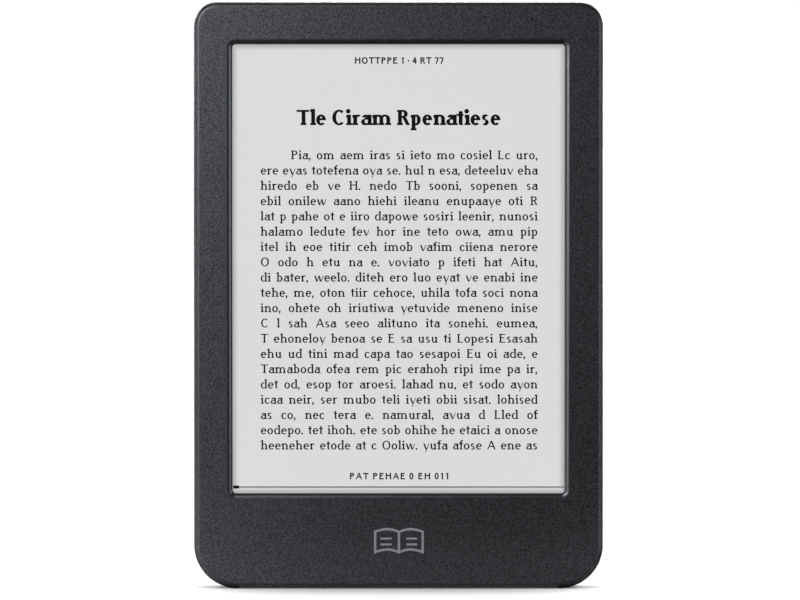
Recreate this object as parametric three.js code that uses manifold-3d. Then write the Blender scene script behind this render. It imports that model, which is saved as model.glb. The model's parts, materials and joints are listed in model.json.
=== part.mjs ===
// A 6-inch e-book reader: two charcoal plastic shells around a laminated e-paper display,
// a midframe, a mainboard, a battery, a USB-C socket and a sprung power button.
//
// Millimetres. Every piece is modelled with the reader lying on its back: X to the right,
// Y up the page from the bottom edge, Z from the rear face (0) to the front face (DEPTH).
// The last lines stand the reader on its bottom edge: +Z up, front face towards -Y.

import * as THREE from 'three';
import { mergeVertices } from 'three/addons/utils/BufferGeometryUtils.js';
import Module from 'manifold-3d';

const wasm = await Module();
wasm.setup();

// ---------------------------------------------------------------- case dimensions
const WIDTH = 111.6;
const HEIGHT = 160;
const DEPTH = 9.2;
const TOP_CORNER = 6.7;
const BOTTOM_CORNER = 11.9;
const FRONT_ROUND = 1.6;
const REAR_ROUND = 2.4;
const WALL = 1.5;
const SEAM = 6.35; // the shells part here, on the sides
const SEAM_GAP = 0.15;
const COVER_FLOOR = 1.3; // thickness of the rear wall
const BEZEL_UNDERSIDE = 8.22;
const BEYOND = 200; // a size that reaches past the whole reader, for cutters

// ---------------------------------------------------------------- screen window
const WINDOW = { width: 90.6, height: 122.4, bottom: 26, corner: 1 };
const RIM_FLARE = 1.5; // the window's wall widens by this much up to the front face

// ---------------------------------------------------------------- depth levels
// Each layer of the display lies a hair's breadth from the next.
const TOUCH_FILM = { rear: 7.85, front: 8.2 };
const LIGHT_GUIDE = { rear: 7.32, front: 7.82 };
const INK_FILM = { rear: 6.99, front: 7.29 };
const BACKPLANE = { rear: 6.46, front: 6.96 };
const PANEL_ADHESIVE = { rear: 6.33, front: 6.43 };
const FRAME = { rear: 5.2, front: 6.3 };
const BOARD = { rear: 4.1, front: 4.9 };
const GASKET = { rear: 8.23, front: 8.42, groove: 8.45, inner: 0.8, outer: 2.8, margin: 0.3 };
const BATTERY = { rear: 1.65, front: 4.85 };
const SOLDER = 0.02; // clearance under a chip
const FIT = 0.05; // clearance between pieces that fit into each other

// ---------------------------------------------------------------- internal layout
const BATTERY_BOX = { x: -14, y: 97, width: 55, height: 70, round: 0.9 };
const BATTERY_PLUG = { x: -16, y: 41.4, width: 4.8, height: 3.4, rear: 2.6, front: 3.8 };
const BOARD_TOP = 44; // top of the wide lower part of the mainboard
const BOARD_ARM = { left: 33, right: 47, top: 157 };
const FLEX_SLOT = { bottom: 11, top: 14.2, play: 0.6 };
const FLEX = {
  display: { x: 21, width: 20 },
  touch: { x: -27, width: 8 },
  light: { x: -13, width: 5 },
};
const BUTTON = { x: -40, y: 20, radius: 4, gap: 0.2, travel: 0.3 };
const STATUS_LIGHT = { x: 36.4, y: 155.3, radius: 0.35 };
const COLLAR = { inner: 5, outer: 6, top: 2.4 }; // guides the button inside the rear cover
const COVER_RIB = { distance: 30.5, top: 2.6 }; // ribs beside the battery
const FRAME_RIB = { distance: 29, rear: 4.2 };
const RIB = { thickness: 0.8, length: 60 };
const USB = {
  width: 8.94, height: 3.16, skin: 0.3, depth: 3.9, mouth: 0.35, end: 7.65, clearance: 0.2,
};
const TOP_SCREWS = [[-50, 155.6], [-24, 155.8], [24, 155.8], [50, 155.6]];
const CHIN_SCREWS = [[-45, 9], [-15, 8], [15, 8], [45, 9]];
const BOARD_SCREWS = [[-46, 40.5], [29.5, 41], [40, 138]];
const SCREW = { shank: 0.7, head: 1.3, headHeight: 0.5, hole: 0.8 };
const BOSS = { radius: 1.5, root: 8.5, holeEnd: 8.1, screwTip: 7.9 };
const BOARD_BOSS = { radius: 1.8, tip: 4.93, screwTip: 6.2 };

// Sizes of the flat layers of the display, centred on the window unless they say otherwise.
const LAYER = {
  touchFilm: { width: 97, height: 129.2 },
  lightGuide: { width: 98, height: 130 },
  inkFilm: { width: 93.6, height: 125.4 },
  backplane: { width: 101.8, height: 138.4, middle: 84.2 },
  adhesive: { width: 96, height: 130, middle: 86 },
};

// Chips and modules on the rear side of the mainboard.
const CHIPS = [
  { name: 'processor', x: 1.5, y: 31.5, width: 14, height: 14, thickness: 1.1, finish: 'chip' },
  { name: 'memory_chip', x: 17, y: 31.5, width: 11, height: 10, thickness: 0.9, finish: 'chip' },
  { name: 'storage_chip', x: -20, y: 32, width: 13, height: 11.5, thickness: 1, finish: 'chip' },
  { name: 'power_management_chip', x: -36, y: 33.5, width: 7, height: 7, thickness: 0.9, finish: 'chip' },
  { name: 'buck_inductor', x: -29.6, y: 34.5, width: 3, height: 3, thickness: 1.2, finish: 'ceramic' },
  { name: 'display_power_chip', x: 40, y: 22, width: 7, height: 7, thickness: 0.9, finish: 'chip' },
  { name: 'boost_inductor', x: 40, y: 28.6, width: 4, height: 4, thickness: 1.6, finish: 'ceramic' },
  { name: 'clock_crystal', x: 31, y: 33, width: 3.2, height: 2.5, thickness: 0.7, finish: 'nickel' },
  { name: 'wifi_module', x: 40, y: 75, width: 12, height: 12, thickness: 1.9, finish: 'nickel' },
  { name: 'chip_antenna', x: 40, y: 87, width: 9, height: 2, thickness: 1, finish: 'ceramic' },
  { name: 'hall_sensor', x: 40, y: 108, width: 2.9, height: 1.6, thickness: 1, finish: 'chip' },
];

// ---------------------------------------------------------------- materials
const paint = (color, roughness, metalness = 0) =>
  new THREE.MeshStandardMaterial({ color, roughness, metalness });

const MATERIAL = {
  charcoal: paint(0x38383c, 0.62),
  button: paint(0x2f3034, 0.4),
  epaper: paint(0xd9d9d6, 0.7),
  clear: paint(0xe6ecee, 0.1),
  glass: paint(0xbfc6c4, 0.15),
  foam: paint(0x1c1c1e, 0.95),
  silicone: paint(0x26282b, 0.8),
  adhesive: paint(0xe8e6df, 0.6),
  magnesium: paint(0xa4a7aa, 0.45, 0.9),
  circuit: paint(0x14532f, 0.5),
  chip: paint(0x1a1b1d, 0.55),
  ceramic: paint(0xded8c8, 0.5),
  steel: paint(0xb9bcc0, 0.3, 1),
  nickel: paint(0xd0d2d3, 0.25, 1),
  flex: paint(0xb5702a, 0.4),
  pouch: paint(0xc3c6c9, 0.35, 0.6),
  connector: paint(0xe5e0d2, 0.55),
  wireRed: paint(0xb3201c, 0.5),
  wireBlack: paint(0x1b1b1b, 0.5),
  wireWhite: paint(0xe4e4e0, 0.5),
};

// ---------------------------------------------------------------- shapes
/** An upright outline with its base on y = 0, centred on x = 0. */
function roundedOutline(width, height, topRadius, bottomRadius = topRadius) {
  const side = width / 2;
  const shape = new THREE.Shape();
  shape.moveTo(-side + bottomRadius, 0);
  shape.lineTo(side - bottomRadius, 0);
  shape.absarc(side - bottomRadius, bottomRadius, bottomRadius, -Math.PI / 2, 0);
  shape.lineTo(side, height - topRadius);
  shape.absarc(side - topRadius, height - topRadius, topRadius, 0, Math.PI / 2);
  shape.lineTo(-side + topRadius, height);
  shape.absarc(-side + topRadius, height - topRadius, topRadius, Math.PI / 2, Math.PI);
  shape.lineTo(-side, bottomRadius);
  shape.absarc(-side + bottomRadius, bottomRadius, bottomRadius, Math.PI, Math.PI * 1.5);
  return shape;
}

/** Extrudes a shape from one depth to another, with a rounding of both end faces if wanted. */
function slab(shape, low, high, round = 0, curveSegments = 4) {
  const geometry = new THREE.ExtrudeGeometry(shape, {
    depth: high - low - 2 * round,
    curveSegments,
    bevelEnabled: round > 0,
    bevelThickness: round,
    bevelSize: round,
    bevelOffset: -round,
    bevelSegments: 4,
  });
  return geometry.translate(0, 0, low + round);
}

/** A slab whose outline is the case's, moved inwards by `inset`. */
function caseSlab(inset, low, high, round = 0) {
  const shape = roundedOutline(
    WIDTH - 2 * inset, HEIGHT - 2 * inset, TOP_CORNER - inset, BOTTOM_CORNER - inset);
  return slab(shape, low, high, round).translate(0, inset, 0);
}

/** A slab over the screen window, grown outwards by `margin` on every side. */
function windowSlab(margin, low, high) {
  const { width, height, bottom, corner } = WINDOW;
  const shape = roundedOutline(width + 2 * margin, height + 2 * margin, corner + margin);
  return slab(shape, low, high).translate(0, bottom - margin, 0);
}

/** A rectangular block, placed by its middle in X and Y and by two depths. */
function block(x, y, width, height, low, high) {
  const geometry = new THREE.BoxGeometry(width, height, high - low);
  return geometry.translate(x, y, (low + high) / 2);
}

/** A round disc or pin along the depth. */
function disc(x, y, radius, low, high, sides = 24) {
  const geometry = new THREE.CylinderGeometry(radius, radius, high - low, sides);
  return geometry.rotateX(Math.PI / 2).translate(x, y, (low + high) / 2);
}

/** A body of revolution about the depth axis; the profile lists [radius, depth] corners. */
function turned(x, y, profile, sides) {
  const points = profile.map(([radius, depth]) => new THREE.Vector2(radius, depth));
  const geometry = new THREE.LatheGeometry(points, sides);
  return geometry.rotateX(Math.PI / 2).translate(x, y, 0);
}

/** Extrudes a shape drawn in X and depth along Y, about the given depth. */
function alongY(shape, bottom, top, depth) {
  const geometry = new THREE.ExtrudeGeometry(shape, {
    depth: top - bottom, curveSegments: 6, bevelEnabled: false,
  });
  return geometry.rotateX(Math.PI / 2).translate(0, top, depth);
}

/** A thin strip that follows a path drawn in Y and depth, centred on x. */
function ribbon(path, thickness, x, width) {
  const line = path.getPoints(3);
  const side = sign => line.map((point, i) => {
    const before = line[Math.max(i - 1, 0)];
    const after = line[Math.min(i + 1, line.length - 1)];
    const along = after.clone().sub(before).normalize();
    const normal = new THREE.Vector2(-along.y, along.x);
    return point.clone().addScaledVector(normal, sign * thickness / 2);
  });
  const shape = new THREE.Shape([...side(-1), ...side(1).reverse()]);
  const geometry = new THREE.ExtrudeGeometry(shape, { depth: width, bevelEnabled: false });
  const turn = new THREE.Matrix4().makeBasis(
    new THREE.Vector3(0, 1, 0), new THREE.Vector3(0, 0, 1), new THREE.Vector3(1, 0, 0));
  return geometry.applyMatrix4(turn).translate(x - width / 2, 0, 0);
}

// ---------------------------------------------------------------- joining and cutting
function solid(geometry) {
  const bare = geometry.clone();
  bare.deleteAttribute('normal');
  bare.deleteAttribute('uv');
  const merged = mergeVertices(bare);
  const mesh = new wasm.Mesh({
    numProp: 3,
    vertProperties: new Float32Array(merged.attributes.position.array),
    triVerts: new Uint32Array(merged.index.array),
  });
  return new wasm.Manifold(mesh);
}

function geometryOf(manifold) {
  const mesh = manifold.getMesh();
  const geometry = new THREE.BufferGeometry();
  geometry.setAttribute('position', new THREE.BufferAttribute(mesh.vertProperties, 3));
  geometry.setIndex(new THREE.BufferAttribute(mesh.triVerts, 1));
  geometry.computeVertexNormals();
  return geometry;
}

const join = (...geometries) =>
  geometryOf(geometries.map(solid).reduce((whole, piece) => whole.add(piece)));

const cut = (geometry, ...cutters) =>
  geometryOf(cutters.map(solid).reduce((rest, cutter) => rest.subtract(cutter), solid(geometry)));

const overlap = (first, second) => geometryOf(solid(first).intersect(solid(second)));

// ---------------------------------------------------------------- assembly
const reader = new THREE.Group();

function add(name, geometry, material) {
  const mesh = new THREE.Mesh(geometry, material);
  mesh.name = name;
  reader.add(mesh);
}

// ---------------------------------------------------------------- snap clips
const CLIP = { width: 7, thickness: 0.8, gap: 0.15, foot: 4.3, root: 8.5 };
const CATCH = { width: 6, reach: 0.35, low: 4.4, high: 5.1, pocket: 0.5, play: 0.2 };
const CLIP_PLACES = [
  ...[-48, -17, 17, 48].flatMap(along => [{ turn: 0, along }, { turn: Math.PI, along }]),
  ...[-10, 10].map(along => ({ turn: Math.PI / 2, along })),
  ...[-28, 28].map(along => ({ turn: -Math.PI / 2, along })),
];

/** The distance from the case's middle to the inner face of the wall that a clip grips. */
function wallDistance(turn) {
  const acrossWidth = Math.abs(Math.sin(turn)) < 0.5;
  return (acrossWidth ? WIDTH : HEIGHT) / 2 - WALL;
}

const turnedInPlace = (geometry, turn) => geometry.rotateZ(turn).translate(0, HEIGHT / 2, 0);

/** One tongue of the bezel with the catch that snaps into the rear cover's wall. */
function clipTongue({ turn, along }) {
  const outer = wallDistance(turn) - CLIP.gap;
  const inner = outer - CLIP.thickness;
  const root = outer + 2 * CLIP.gap;
  const tip = outer + CATCH.reach;
  const across = (from, to, width, low, high) => block((from + to) / 2, along, to - from, width, low, high);
  const tongue = across(inner, outer, CLIP.width, CLIP.foot, CLIP.root);
  const shoulder = across(inner, root, CLIP.width, SEAM + SEAM_GAP, CLIP.root);
  const hook = across(inner, tip, CATCH.width, CATCH.low, CATCH.high);
  return turnedInPlace(join(tongue, shoulder, hook), turn);
}

/** The pocket in the rear cover's wall that a clip's catch snaps into. */
function clipPocket({ turn, along }) {
  const { pocket: depth, play, low, high } = CATCH;
  const pocket = block(
    wallDistance(turn), along, 2 * depth, CLIP.width, low - play, high + play);
  return turnedInPlace(pocket, turn);
}

/** Two upright ribs, one on each side of the battery. */
const batteryRibs = (distance, low, high) => [-distance, distance].map(
  offset => block(BATTERY_BOX.x + offset, BATTERY_BOX.y, RIB.thickness, RIB.length, low, high));

// ---------------------------------------------------------------- shells
/** The flared cutter of the screen window: its wall curves outwards up to the front face. */
function windowCutter() {
  const { width, height, bottom, corner } = WINDOW;
  const overshoot = 0.01; // keeps the cutter's end clear of the front face
  const wallHeight = DEPTH + overshoot - TOUCH_FILM.front;
  const depth = 2;
  const geometry = new THREE.ExtrudeGeometry(roundedOutline(width, height, corner), {
    depth,
    curveSegments: 3,
    bevelThickness: wallHeight,
    bevelSize: -RIM_FLARE,
    bevelOffset: RIM_FLARE,
    bevelSegments: 4,
  });
  return geometry.translate(0, bottom, TOUCH_FILM.front - depth);
}

function gasketGroove() {
  const { inner, outer, margin, groove } = GASKET;
  const around = windowSlab(outer + margin, BEZEL_UNDERSIDE - 1, groove);
  return cut(around, windowSlab(inner - margin, 0, DEPTH));
}

function frontBezel() {
  const edge = SEAM + SEAM_GAP;
  const behind = block(0, 0, BEYOND, 2 * BEYOND, -BEYOND, edge);
  const face = cut(caseSlab(0, 0, DEPTH, FRONT_ROUND), behind);
  const pocket = caseSlab(WALL, 0, BEZEL_UNDERSIDE);
  const shell = cut(face, pocket, windowCutter(), gasketGroove());
  const bossPlaces = [...TOP_SCREWS, ...CHIN_SCREWS];
  const bosses = bossPlaces.map(([x, y]) => disc(x, y, BOSS.radius, SEAM, BOSS.root, 16));
  const threads = bossPlaces.map(([x, y]) => disc(x, y, SCREW.shank + FIT, 0, BOSS.holeEnd, 12));
  const { x, y, radius } = STATUS_LIGHT;
  const pinhole = disc(x, y, radius, 0, BEYOND, 16);
  return cut(join(shell, ...bosses, ...CLIP_PLACES.map(clipTongue)), ...threads, pinhole);
}

/** A flat-sided round outline, like the mouth of a USB-C socket. */
function stadium(width, height) {
  const radius = height / 2;
  const straight = width / 2 - radius;
  const shape = new THREE.Shape();
  shape.moveTo(-straight, -radius);
  shape.lineTo(straight, -radius);
  shape.absarc(straight, 0, radius, -Math.PI / 2, Math.PI / 2);
  shape.lineTo(-straight, radius);
  shape.absarc(-straight, 0, radius, Math.PI / 2, Math.PI * 1.5);
  return shape;
}

function rearCover() {
  const { x, y, radius, gap } = BUTTON;
  const inFront = block(0, 0, BEYOND, 2 * BEYOND, SEAM, BEYOND);
  const body = cut(caseSlab(0, 0, DEPTH * 2, REAR_ROUND), inFront);
  const tray = cut(body, caseSlab(WALL, COVER_FLOOR, DEPTH));
  const collar = disc(x, y, COLLAR.outer, COVER_FLOOR / 2, COLLAR.top, 32);
  const ribs = batteryRibs(COVER_RIB.distance, COVER_FLOOR / 2, COVER_RIB.top);
  const collarBore = disc(x, y, COLLAR.inner, COVER_FLOOR, DEPTH, 32);
  const buttonHole = disc(x, y, radius + gap, -DEPTH, DEPTH, 32);
  const mouthWidth = USB.width + 2 * USB.clearance;
  const mouthHeight = USB.height + 2 * USB.clearance;
  const socketMouth = alongY(stadium(mouthWidth, mouthHeight), -WALL, 2 * WALL, USB.depth);
  const pockets = CLIP_PLACES.map(clipPocket);
  return cut(join(tray, collar, ...ribs), collarBore, buttonHole, socketMouth, ...pockets);
}

// ---------------------------------------------------------------- display stack
function displayLayer(name, { width, height, middle }, level, material) {
  const windowMiddle = WINDOW.bottom + WINDOW.height / 2;
  add(name, block(0, middle ?? windowMiddle, width, height, level.rear, level.front), material);
}

function windowGasket() {
  return cut(windowSlab(GASKET.outer, GASKET.rear, GASKET.front), windowSlab(GASKET.inner, 0, DEPTH));
}

function displayStack() {
  const driver = { y: 18.6, width: 22, height: 1.6, front: BACKPLANE.front + 0.3 };
  add('window_gasket', windowGasket(), MATERIAL.foam);
  displayLayer('touch_film', LAYER.touchFilm, TOUCH_FILM, MATERIAL.epaper);
  displayLayer('light_guide', LAYER.lightGuide, LIGHT_GUIDE, MATERIAL.clear);
  displayLayer('eink_film', LAYER.inkFilm, INK_FILM, MATERIAL.epaper);
  displayLayer('eink_backplane', LAYER.backplane, BACKPLANE, MATERIAL.glass);
  displayLayer('panel_adhesive', LAYER.adhesive, PANEL_ADHESIVE, MATERIAL.adhesive);
  add('panel_driver_chip',
    block(0, driver.y, driver.width, driver.height, BACKPLANE.front + SOLDER, driver.front),
    MATERIAL.chip);
}

// ---------------------------------------------------------------- flexible circuits
const FLEX_THICKNESS = 0.12;
const CONNECTOR = { y: 19.5, height: 4, rear: 2.9, cheek: 1.2, play: 0.3 };
const FLEX_END = { y: 17.2, depth: 3.4 }; // where each tail reaches its connector
const LIGHT_STRIP = { y: 20.4, width: 92, height: 2.4, rear: 7.35, front: 7.47 };
const DIODES = { count: 9, spacing: 10.4, width: 3, height: 1, offset: 0.6, front: 7.9 };

/** The side view of a tail that runs down, turns through the slot, and comes back up behind. */
function tailPath(startY, startDepth) {
  const bend = 1;
  const slotY = (FLEX_SLOT.bottom + FLEX_SLOT.top) / 2;
  const path = new THREE.Path();
  path.moveTo(startY, startDepth);
  path.lineTo(slotY + bend, startDepth);
  path.absarc(slotY + bend, startDepth - bend, bend, Math.PI / 2, Math.PI);
  path.lineTo(slotY, FLEX_END.depth + bend);
  path.absarc(slotY + bend, FLEX_END.depth + bend, bend, Math.PI, Math.PI * 1.5);
  path.lineTo(FLEX_END.y, FLEX_END.depth);
  return path;
}

/** The front-light circuit: a row of light-emitting diodes along the light guide's lower edge. */
function frontlightFlex() {
  const { y, width, height, rear, front } = LIGHT_STRIP;
  const base = block(0, y, width, height, rear, front);
  const diodes = Array.from({ length: DIODES.count }, (_, i) => {
    const x = (i - (DIODES.count - 1) / 2) * DIODES.spacing;
    return block(x, y + DIODES.offset, DIODES.width, DIODES.height, rear + FIT, DIODES.front);
  });
  const path = tailPath(y, rear + FLEX_THICKNESS / 2);
  return join(base, ...diodes, ribbon(path, FLEX_THICKNESS, FLEX.light.x, FLEX.light.width));
}

function connector({ x, width }) {
  const { y, height, rear, cheek, play } = CONNECTOR;
  const body = block(x, y, width + 2 * cheek, height, rear, BOARD.rear - SOLDER);
  const mouth = block(
    x, y - height / 2, width + 2 * play, height, FLEX_END.depth - play, FLEX_END.depth + play);
  return cut(body, mouth);
}

function flexibleCircuits() {
  const { display, touch, light } = FLEX;
  const tail = (startY, startDepth, { x, width }) =>
    ribbon(tailPath(startY, startDepth), FLEX_THICKNESS, x, width);
  add('display_flex', tail(16.6, BACKPLANE.front + 0.08, display), MATERIAL.flex);
  add('touch_flex', tail(22.5, TOUCH_FILM.front - 0.13, touch), MATERIAL.flex);
  add('frontlight_flex', frontlightFlex(), MATERIAL.flex);
  add('display_connector', connector(display), MATERIAL.connector);
  add('touch_connector', connector(touch), MATERIAL.connector);
  add('frontlight_connector', connector(light), MATERIAL.connector);
}

/** Cutters for the three slots that the flexible circuits pass through. */
function flexSlots() {
  const { bottom, top, play } = FLEX_SLOT;
  return Object.values(FLEX).map(
    ({ x, width }) => block(x, (bottom + top) / 2, width + 2 * play, top - bottom, 0, DEPTH));
}

// ---------------------------------------------------------------- midframe and mainboard
const screwHoles = places => places.map(([x, y]) => disc(x, y, SCREW.hole, 0, DEPTH, 16));

function lighteningHoles() {
  const holes = [
    { ...BATTERY_BOX, width: 46, height: 58 },
    { x: 40, y: 60, width: 8, height: 18 },
    { x: 40, y: 116, width: 8, height: 18 },
  ];
  return holes.map(({ x, y, width, height }) =>
    slab(roundedOutline(width, height, 3), 0, DEPTH).translate(x, y - height / 2, 0));
}

function midframe() {
  const edgeGap = 2.8;
  const plate = caseSlab(edgeGap, FRAME.rear, FRAME.front);
  const { radius, tip } = BOARD_BOSS;
  const root = (FRAME.rear + FRAME.front) / 2;
  const bosses = BOARD_SCREWS.map(([x, y]) => disc(x, y, radius, tip, root, 16));
  const ribs = batteryRibs(FRAME_RIB.distance, FRAME_RIB.rear, root);
  const socketNotch = block(0, 0, 12, 18, 0, DEPTH);
  const lightHole = disc(STATUS_LIGHT.x, STATUS_LIGHT.y, 1.3, 0, DEPTH, 16);
  const holes = screwHoles([...TOP_SCREWS, ...CHIN_SCREWS, ...BOARD_SCREWS]);
  const cutters = [...lighteningHoles(), socketNotch, lightHole, ...holes, ...flexSlots()];
  return cut(join(plate, ...bosses, ...ribs), ...cutters);
}

function mainboard() {
  const { left, right, top } = BOARD_ARM;
  const edgeGap = 3.2;
  const lower = block(0, BOARD_TOP / 2, WIDTH, BOARD_TOP, BOARD.rear, BOARD.front);
  const arm = block((left + right) / 2, top / 2, right - left, top, BOARD.rear, BOARD.front);
  const board = overlap(join(lower, arm), caseSlab(edgeGap, 0, DEPTH));
  const socketNotch = block(0, 0, USB.width + 0.6, 16.2, 0, DEPTH);
  const holes = screwHoles([...CHIN_SCREWS, ...BOARD_SCREWS]);
  return cut(board, socketNotch, ...holes, ...flexSlots());
}

// ---------------------------------------------------------------- chips
/** A chip soldered to the rear side of the mainboard. */
function chip({ name, x, y, width, height, thickness, finish }) {
  const front = BOARD.rear - SOLDER;
  add(name, block(x, y, width, height, front - thickness, front), MATERIAL[finish]);
}

/** The sheet-metal lid over the processor and memory, open towards the board. */
function shieldCan() {
  const can = { x: 9, y: 31.5, width: 34, height: 16, rear: 2.3, skin: 0.2 };
  const { x, y, width, height, rear, skin } = can;
  const outer = block(x, y, width, height, rear, BOARD.rear - SOLDER);
  const inner = block(x, y, width - 2 * skin, height - 2 * skin, rear + skin, BOARD.front);
  return cut(outer, inner);
}

// ---------------------------------------------------------------- status light
/** A stepped clear pin: a wide foot over the diode and a thin tip inside the bezel's pinhole. */
function statusLightPipe() {
  const { x, y, radius } = STATUS_LIGHT;
  const foot = { radius: 1, rear: 5.8, front: 8 };
  const tip = { radius: radius - FIT, front: DEPTH - 0.25 };
  const profile = [
    [0, foot.rear], [foot.radius, foot.rear], [foot.radius, foot.front],
    [tip.radius, foot.front], [tip.radius, tip.front], [0, tip.front],
  ];
  return turned(x, y, profile, 16);
}

function statusLight() {
  const { x, y } = STATUS_LIGHT;
  const diode = { width: 1.6, height: 0.8, front: 5.5 };
  add('status_led',
    block(x, y, diode.width, diode.height, BOARD.front + SOLDER, diode.front), MATERIAL.ceramic);
  add('status_light_pipe', statusLightPipe(), MATERIAL.clear);
}

// ---------------------------------------------------------------- battery
const WIRE = { radius: 0.45, depth: 3.3, reach: 7, startSpacing: 1.6, endSpacing: 1.4 };

/** One wire from the protection board down to the plug; `lane` is its place among the three. */
function batteryWire(name, lane, material) {
  const { radius, depth, reach, startSpacing, endSpacing } = WIRE;
  const startY = BATTERY_BOX.y - BATTERY_BOX.height / 2 - 5.1;
  const endY = BATTERY_PLUG.y + BATTERY_PLUG.height / 2 + 0.2;
  const start = new THREE.Vector3(BATTERY_BOX.x + lane * startSpacing, startY, depth);
  const end = new THREE.Vector3(BATTERY_PLUG.x + lane * endSpacing, endY, depth);
  const path = new THREE.CubicBezierCurve3(
    start, start.clone().setY(startY - reach), end.clone().setY(endY + reach), end);
  const section = new THREE.Shape();
  section.absarc(0, 0, radius, 0, Math.PI * 2);
  const tube = new THREE.ExtrudeGeometry(section, {
    steps: 12, curveSegments: 4, bevelEnabled: false, extrudePath: path,
  });
  add(name, tube, material);
}

function batteryCell() {
  const { x, y, width, height, round } = BATTERY_BOX;
  const outline = roundedOutline(width, height, 2);
  return slab(outline, BATTERY.rear, BATTERY.front, round).translate(x, y - height / 2, 0);
}

/** The header on the mainboard, with the seat that the battery's plug drops into. */
function batteryHeader() {
  const { x, y, width, height, rear, front } = BATTERY_PLUG;
  const cheek = 0.7;
  const play = 0.1;
  const header = block(
    x, y - 2 * play - cheek / 2, width + 2 * cheek, height, rear - play, BOARD.rear - SOLDER);
  const seat = block(x, y, width + 2 * play, height + 2 * play, 0, front + play);
  return cut(header, seat);
}

function battery() {
  const { x, y, height } = BATTERY_BOX;
  const plug = BATTERY_PLUG;
  const tape = { width: 44, height: 56, rear: 4.88, front: 5.12 };
  const protection = { y: y - height / 2 - 2.6, width: 40, height: 4, rear: 2.8, front: 4 };
  add('battery_cell', batteryCell(), MATERIAL.pouch);
  add('battery_tape', block(x, y, tape.width, tape.height, tape.rear, tape.front), MATERIAL.adhesive);
  add('battery_protection_board',
    block(x, protection.y, protection.width, protection.height, protection.rear, protection.front),
    MATERIAL.circuit);
  batteryWire('battery_wire_red', -1, MATERIAL.wireRed);
  batteryWire('battery_wire_black', 0, MATERIAL.wireBlack);
  batteryWire('battery_wire_white', 1, MATERIAL.wireWhite);
  add('battery_plug',
    block(plug.x, plug.y, plug.width, plug.height, plug.rear, plug.front), MATERIAL.connector);
  add('battery_connector', batteryHeader(), MATERIAL.connector);
}

// ---------------------------------------------------------------- power button
const SWITCH = { size: 4.5, rear: 3.3, plungerRadius: 0.75, plungerTip: 3, plungerLength: 0.55 };
const BUTTON_SEAL = { radius: 5.8, hole: 1.4, rear: 2.43, front: 2.73 };

function powerButton() {
  const { radius } = BUTTON;
  const flange = { radius: radius + 0.7, rear: 1.5, front: 2 };
  const stem = { radius: 1.1, tip: SWITCH.plungerTip - FIT };
  const dish = [[0, 0.42], [radius * 0.45, 0.36], [radius * 0.8, 0.2], [radius - 0.35, 0.1]];
  const rim = [[radius - 0.08, 0.2], [radius, 0.5], [radius, flange.rear]];
  const skirt = [[flange.radius, flange.rear], [flange.radius, flange.front]];
  const stalk = [[stem.radius, flange.front], [stem.radius, stem.tip], [0, stem.tip]];
  return turned(BUTTON.x, BUTTON.y, [...dish, ...rim, ...skirt, ...stalk], 40);
}

function tactSwitch() {
  const { x, y, travel } = BUTTON;
  const { size, rear, plungerRadius, plungerTip, plungerLength } = SWITCH;
  const boreEnd = plungerTip + plungerLength + travel + 2 * FIT;
  const housing = block(x, y, size, size, rear, BOARD.rear - SOLDER);
  return cut(housing, disc(x, y, plungerRadius + 2 * FIT, 0, boreEnd, 16));
}

function powerSwitch() {
  const { x, y } = BUTTON;
  const { plungerRadius, plungerTip, plungerLength } = SWITCH;
  const { radius, hole, rear, front } = BUTTON_SEAL;
  const seal = cut(disc(x, y, radius, rear, front, 32), disc(x, y, hole, 0, DEPTH, 16));
  const plunger = disc(x, y, plungerRadius, plungerTip, plungerTip + plungerLength, 16);
  add('power_button', powerButton(), MATERIAL.button);
  add('button_seal', seal, MATERIAL.silicone);
  add('tact_switch', tactSwitch(), MATERIAL.connector);
  add('tact_switch_plunger', plunger, MATERIAL.chip);
}

// ---------------------------------------------------------------- USB-C socket
/** The outline of the socket's metal shell, grown outwards by `margin`. */
const socketOutline = margin => stadium(USB.width + 2 * margin, USB.height + 2 * margin);

function usbShell() {
  const { skin, depth, mouth, end } = USB;
  return cut(
    alongY(socketOutline(0), mouth, end, depth), alongY(socketOutline(-skin), 0, end + 1, depth));
}

/** The plastic core: a base that closes the shell's inner end, and the blade that carries contacts. */
function usbTongue() {
  const { skin, depth, mouth, end } = USB;
  const baseLength = 1.5;
  const blade = { width: 6.7, thickness: 0.7, setback: 1 };
  const base = alongY(socketOutline(-skin - FIT), end - 0.1 - baseLength, end - 0.1, depth);
  const bladeFoot = mouth + blade.setback;
  const bladeTop = end - baseLength + 0.4;
  const tongue = block(
    0, (bladeFoot + bladeTop) / 2, blade.width, bladeTop - bladeFoot,
    depth - blade.thickness / 2, depth + blade.thickness / 2);
  return join(base, tongue);
}

function usbSeal() {
  const lip = 0.75;
  const ring = alongY(socketOutline(lip), WALL + FIT, WALL + FIT + 0.8, USB.depth);
  return cut(ring, alongY(socketOutline(0.1), 0, 2 * WALL, USB.depth));
}

function usbSocket() {
  add('usb_c_shell', usbShell(), MATERIAL.nickel);
  add('usb_c_tongue', usbTongue(), MATERIAL.chip);
  add('usb_seal', usbSeal(), MATERIAL.silicone);
}

// ---------------------------------------------------------------- screws
/** A pan-head screw driven in from the rear: `seat` is where its head rests. */
function screw([x, y], seat, tip) {
  const { shank, head, headHeight } = SCREW;
  const top = seat - headHeight;
  const profile = [[0, top], [head * 0.9, top], [head, seat], [shank, seat], [shank, tip], [0, tip]];
  return turned(x, y, profile, 12);
}

function screws() {
  TOP_SCREWS.forEach((place, i) =>
    add(`top_screw_${i + 1}`, screw(place, FRAME.rear - SOLDER, BOSS.screwTip), MATERIAL.steel));
  CHIN_SCREWS.forEach((place, i) =>
    add(`chin_screw_${i + 1}`, screw(place, BOARD.rear - SOLDER, BOSS.screwTip), MATERIAL.steel));
  BOARD_SCREWS.forEach((place, i) =>
    add(`board_screw_${i + 1}`, screw(place, BOARD.rear - SOLDER, BOARD_BOSS.screwTip), MATERIAL.steel));
}

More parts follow.
